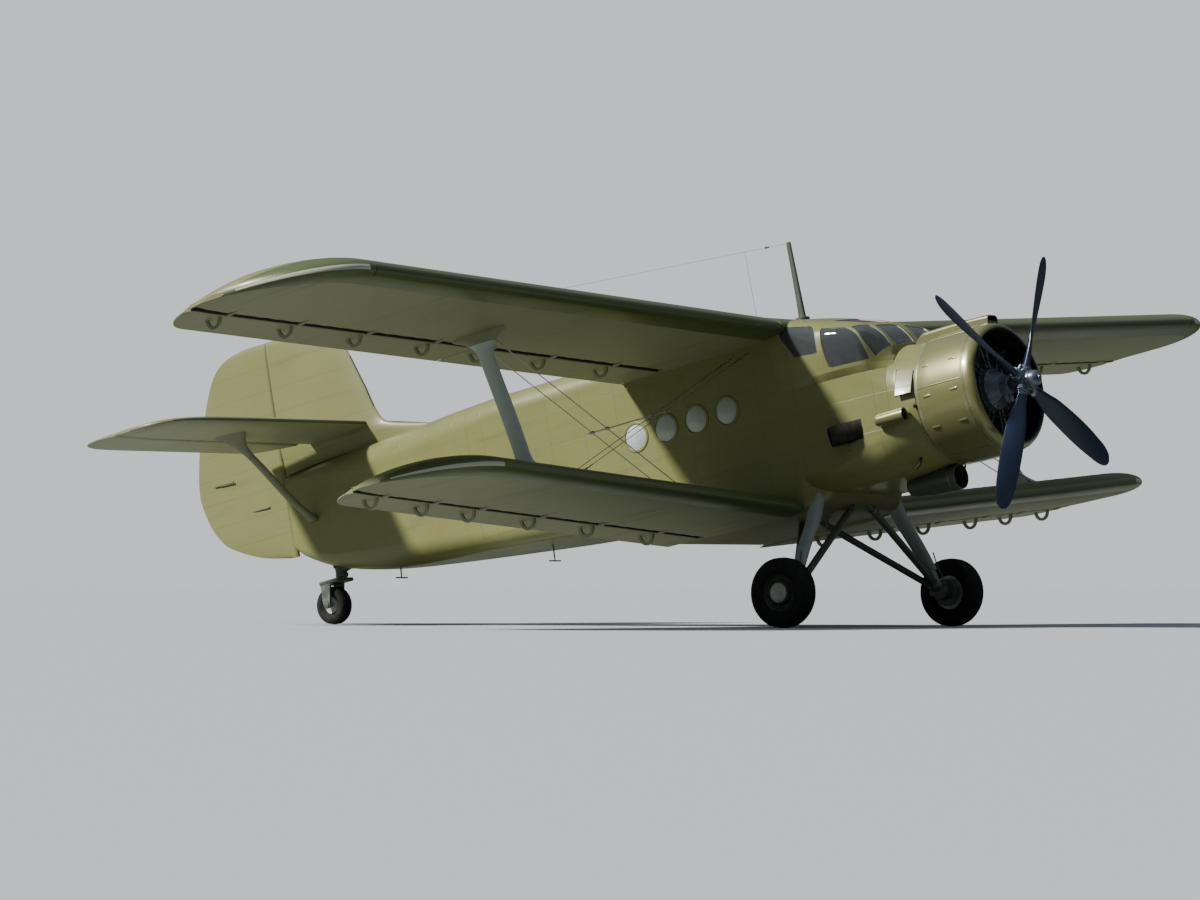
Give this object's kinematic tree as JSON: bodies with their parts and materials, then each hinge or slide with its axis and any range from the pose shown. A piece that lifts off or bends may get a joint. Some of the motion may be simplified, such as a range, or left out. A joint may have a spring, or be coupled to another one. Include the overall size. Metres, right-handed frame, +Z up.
{
  "type": "utility biplane",
  "caption": "Single-engine utility biplane on tailwheel gear, with a cowled radial engine, a bulged cockpit, a hollow cabin with round windows, braced wings, slats, flaps and cargo doors.",
  "frame": {"origin": "middle of the bounding box, on the floor under the tyres", "axes": "+X to the nose, +Y to port, +Z up, parked tail down"},
  "size_m": [12.7784, 18.162, 4.493],
  "materials": {
    "olive": "gloss",
    "cloth": "doped and painted gloss",
    "strut_grey": "satin",
    "blade": "satin paint",
    "engine": "satin",
    "tyre": "matt",
    "hub": "satin",
    "pane": "clear",
    "inside": "matt",
    "seat": "matt",
    "pipe": "heat stained",
    "wire": "satin"
  },
  "bodies": {
    "airframe": {"upper_wing_left": "cloth", "upper_wing_right": "cloth", "lower_wing_left": "cloth", "lower_wing_right": "cloth", "slat_left": "olive", "slat_right": "olive", "upper_centre_section": "olive", "lower_centre_section": "olive", "cabin_shell": "olive", "window_glass_right": "pane", "window_glass_left": "pane", "canopy_frame": "olive", "canopy_glass": "pane", "nose_section": "olive", "cowling": "olive", "engine": "engine", "air_scoop": "olive", "oil_cooler": "olive", "exhaust_pipe": "pipe", "heater_intake": "strut_grey", "fin": "olive", "tail_cone": "olive", "stabiliser_left": "cloth", "stabiliser_right": "cloth", "tail_strut_left": "olive", "tail_strut_right": "olive", "interplane_strut_left": "strut_grey", "interplane_strut_right": "strut_grey", "bracing_wires_left": "wire", "bracing_wires_right": "wire", "gear_leg_left": "strut_grey", "gear_leg_right": "strut_grey", "tail_gear_socket": "strut_grey", "antenna_mast": "strut_grey", "cabin_floor": "inside", "cockpit_seats": "seat", "instrument_panel": "inside"},
    "propeller": {"propeller": "blade"},
    "main_wheel_left": {"main_tyre_left": "tyre", "main_hub_left": "hub"},
    "main_wheel_right": {"main_tyre_right": "tyre", "main_hub_right": "hub"},
    "tail_fork": {"tail_fork": "strut_grey"},
    "tail_wheel": {"tail_wheel": "tyre"},
    "rudder": {"rudder": "cloth"},
    "elevator_left": {"elevator_left": "cloth"},
    "aileron_left": {"aileron_left": "cloth"},
    "upper_flap_left": {"upper_flap_left": "cloth"},
    "lower_flap_left": {"lower_flap_left": "cloth"},
    "elevator_right": {"elevator_right": "cloth"},
    "aileron_right": {"aileron_right": "cloth"},
    "upper_flap_right": {"upper_flap_right": "cloth"},
    "lower_flap_right": {"lower_flap_right": "cloth"},
    "cargo_door": {"cargo_door": "olive"},
    "entry_door": {"entry_door": "olive", "entry_door_glass": "pane"}
  },
  "joints": [
    {"name": "propeller_spin", "type": "hinge", "parent": "airframe", "child": "propeller", "pos_m": [6.05553, 0, 2.79386], "axis": [0.9782, 0, 0.2074], "continuous": true},
    {"name": "main_wheel_left_spin", "type": "hinge", "parent": "airframe", "child": "main_wheel_left", "pos_m": [3.92578, 1.69, 0.4], "axis": [0, 1, 0], "continuous": true},
    {"name": "main_wheel_right_spin", "type": "hinge", "parent": "airframe", "child": "main_wheel_right", "pos_m": [3.92578, -1.69, 0.4], "axis": [0, 1, 0], "continuous": true},
    {"name": "tail_wheel_swivel", "type": "hinge", "parent": "airframe", "child": "tail_fork", "pos_m": [-4.0234, 0, 0.57485], "axis": [-0.2074, 0, 0.9782], "range_deg": [-90, 90]},
    {"name": "tail_wheel_spin", "type": "hinge", "parent": "tail_fork", "child": "tail_wheel", "pos_m": [-4.15578, 0, 0.235], "axis": [0, 1, 0], "continuous": true},
    {"name": "rudder_turn", "type": "hinge", "parent": "airframe", "child": "rudder", "pos_m": [-5.05785, 0, 2.17508], "axis": [-0.2074, 0, 0.9782], "range_deg": [-28, 28]},
    {"name": "elevator_left_turn", "type": "hinge", "parent": "airframe", "child": "elevator_left", "pos_m": [-4.5834, 1.9, 2.27569], "axis": [0, 1, 0], "range_deg": [-22, 42]},
    {"name": "aileron_left_turn", "type": "hinge", "parent": "airframe", "child": "aileron_left", "pos_m": [1.49491, 4.3, 3.20911], "axis": [-0.0109, 0.9986, 0.0512], "range_deg": [-14, 30]},
    {"name": "upper_flap_left_turn", "type": "hinge", "parent": "airframe", "child": "upper_flap_left", "pos_m": [1.53133, 0.95, 3.03736], "axis": [-0.0109, 0.9986, 0.0512], "range_deg": [-40, 0]},
    {"name": "lower_flap_left_turn", "type": "hinge", "parent": "airframe", "child": "lower_flap_left", "pos_m": [2.13431, 0.95, 1.08382], "axis": [-0.0156, 0.9972, 0.0733], "range_deg": [-40, 0]},
    {"name": "elevator_right_turn", "type": "hinge", "parent": "airframe", "child": "elevator_right", "pos_m": [-4.5834, -1.9, 2.27569], "axis": [0, 1, 0], "range_deg": [-22, 42]},
    {"name": "aileron_right_turn", "type": "hinge", "parent": "airframe", "child": "aileron_right", "pos_m": [1.49491, -4.3, 3.20911], "axis": [0.0109, 0.9986, -0.0512], "range_deg": [-14, 30]},
    {"name": "upper_flap_right_turn", "type": "hinge", "parent": "airframe", "child": "upper_flap_right", "pos_m": [1.53133, -0.95, 3.03736], "axis": [0.0109, 0.9986, -0.0512], "range_deg": [-40, 0]},
    {"name": "lower_flap_right_turn", "type": "hinge", "parent": "airframe", "child": "lower_flap_right", "pos_m": [2.13431, -0.95, 1.08382], "axis": [0.0156, 0.9972, -0.0733], "range_deg": [-40, 0]},
    {"name": "cargo_door_turn", "type": "hinge", "parent": "airframe", "child": "cargo_door", "pos_m": [-0.00923, 0.9, 2.66296], "axis": [0.9782, 0, 0.2074], "range_deg": [0, 80]},
    {"name": "entry_door_turn", "type": "hinge", "parent": "cargo_door", "child": "entry_door", "pos_m": [0.75019, 0.814, 2.11865], "axis": [-0.2074, 0, 0.9782], "range_deg": [0, 90]}
  ]
}
